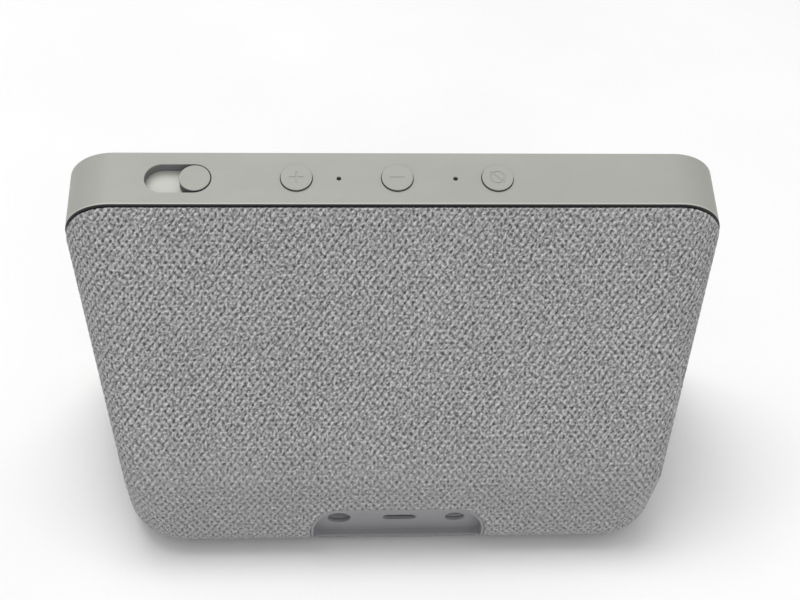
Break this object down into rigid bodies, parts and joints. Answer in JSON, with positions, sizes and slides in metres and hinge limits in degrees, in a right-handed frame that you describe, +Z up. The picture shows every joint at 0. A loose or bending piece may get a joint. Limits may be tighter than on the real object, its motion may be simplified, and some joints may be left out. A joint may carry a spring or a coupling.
{
  "type": "smart speaker",
  "caption": "Tabletop smart speaker with a tilted touch screen, fabric-covered wedge back, top buttons, sliding camera shutter and a recessed socket panel.",
  "frame": {"origin": "middle of the footprint box, on the surface the object stands on", "axes": "+Z up, -Y the way the screen faces, +X to the right of a person who faces the screen"},
  "size_m": [0.148, 0.073, 0.086],
  "materials": {
    "frame_plastic": "fine matt moulded plastic, warm light grey",
    "button_plastic": "fine matt moulded plastic, warm light grey",
    "cover_glass": "polished glass printed black behind",
    "black_adhesive": "matt foam adhesive",
    "display": "dark display laminate",
    "pressed_steel": "pressed sheet steel",
    "black_plastic": "matt moulded plastic",
    "light_plastic": "matt moulded plastic",
    "screw_steel": "zinc-plated steel",
    "lens_glass": "coated lens",
    "circuit_board": "green solder mask",
    "chip": "moulded epoxy",
    "gilded_metal": "gold-plated",
    "rubber_black": "soft matt rubber",
    "thermal_pad": "soft silicone",
    "aluminium": "plain rolled",
    "flex_film": "polyimide film",
    "magnet": "sintered ferrite",
    "coil_copper": "enamelled copper wire",
    "paper_cone": "coated paper pulp",
    "spider_cloth": "phenolic cloth",
    "wire": "insulated wire",
    "shell_plastic": "structural plastic",
    "fabric": "woven melange polyester, grey",
    "base_plastic": "fine matt moulded plastic, grey",
    "foot_rubber": "matt elastomer"
  },
  "bodies": {
    "housing": {"front_frame": "frame_plastic", "cover_glass": "cover_glass", "glass_gasket": "black_adhesive", "lcd_panel": "display", "backlight_plate": "pressed_steel", "display_bracket": "black_plastic", "display_screws": "screw_steel", "camera_module": "black_plastic", "camera_lens": "lens_glass", "tactile_switches": "pressed_steel", "button_retainer": "light_plastic", "button_board": "circuit_board", "button_board_screws": "screw_steel", "microphones": "gilded_metal", "mic_gaskets": "rubber_black", "main_board": "circuit_board", "board_standoffs": "gilded_metal", "board_screws": "screw_steel", "processor": "chip", "memory_chips": "chip", "shield_can": "pressed_steel", "thermal_pad": "thermal_pad", "heat_spreader": "aluminium", "wifi_antennas": "flex_film", "display_ribbon": "flex_film", "camera_ribbon": "flex_film", "button_ribbon": "flex_film", "speaker_box": "black_plastic", "speaker_basket": "pressed_steel", "speaker_gasket": "black_adhesive", "speaker_yoke": "pressed_steel", "speaker_magnet": "magnet", "speaker_top_plate": "pressed_steel", "speaker_surround": "rubber_black", "speaker_spider": "spider_cloth", "speaker_leads": "wire", "rear_housing": "shell_plastic", "fabric_cover": "fabric", "base_plate": "base_plastic", "rubber_foot": "foot_rubber", "base_screws": "screw_steel", "port_panel": "base_plastic", "port_board": "circuit_board", "port_leads": "wire", "power_jack": "black_plastic", "power_jack_pin": "screw_steel", "data_socket": "pressed_steel", "data_socket_tongue": "black_plastic", "audio_jack": "black_plastic"},
    "volume_up": {"volume_up_button": "button_plastic", "volume_up_plunger": "black_plastic"},
    "volume_down": {"volume_down_button": "button_plastic", "volume_down_plunger": "black_plastic"},
    "mic_camera_off": {"mic_camera_button": "button_plastic", "mic_camera_plunger": "black_plastic"},
    "camera_shutter": {"shutter_knob": "button_plastic", "shutter_blade": "black_plastic"},
    "speaker_diaphragm": {"voice_coil": "coil_copper", "speaker_cone": "paper_cone", "dust_cap": "paper_cone"}
  },
  "joints": [
    {"name": "volume_up_press", "type": "slide", "parent": "housing", "child": "volume_up", "axis": [0, -0.3746, -0.9272], "range_m": [0, 0.0005], "stiffness_N_per_m": 1200},
    {"name": "volume_down_press", "type": "slide", "parent": "housing", "child": "volume_down", "axis": [0, -0.3746, -0.9272], "range_m": [0, 0.0005], "stiffness_N_per_m": 1200},
    {"name": "mic_camera_off_press", "type": "slide", "parent": "housing", "child": "mic_camera_off", "axis": [0, -0.3746, -0.9272], "range_m": [0, 0.0005], "stiffness_N_per_m": 1200},
    {"name": "shutter_slide", "type": "slide", "parent": "housing", "child": "camera_shutter", "axis": [1, 0, 0], "range_m": [0, 0.0074]},
    {"name": "diaphragm_stroke", "type": "slide", "parent": "housing", "child": "speaker_diaphragm", "axis": [0, 0.9037, 0.4282], "range_m": [-0.001, 0.001], "stiffness_N_per_m": 1200, "deforming": ["speaker_surround", "speaker_spider"]}
  ]
}
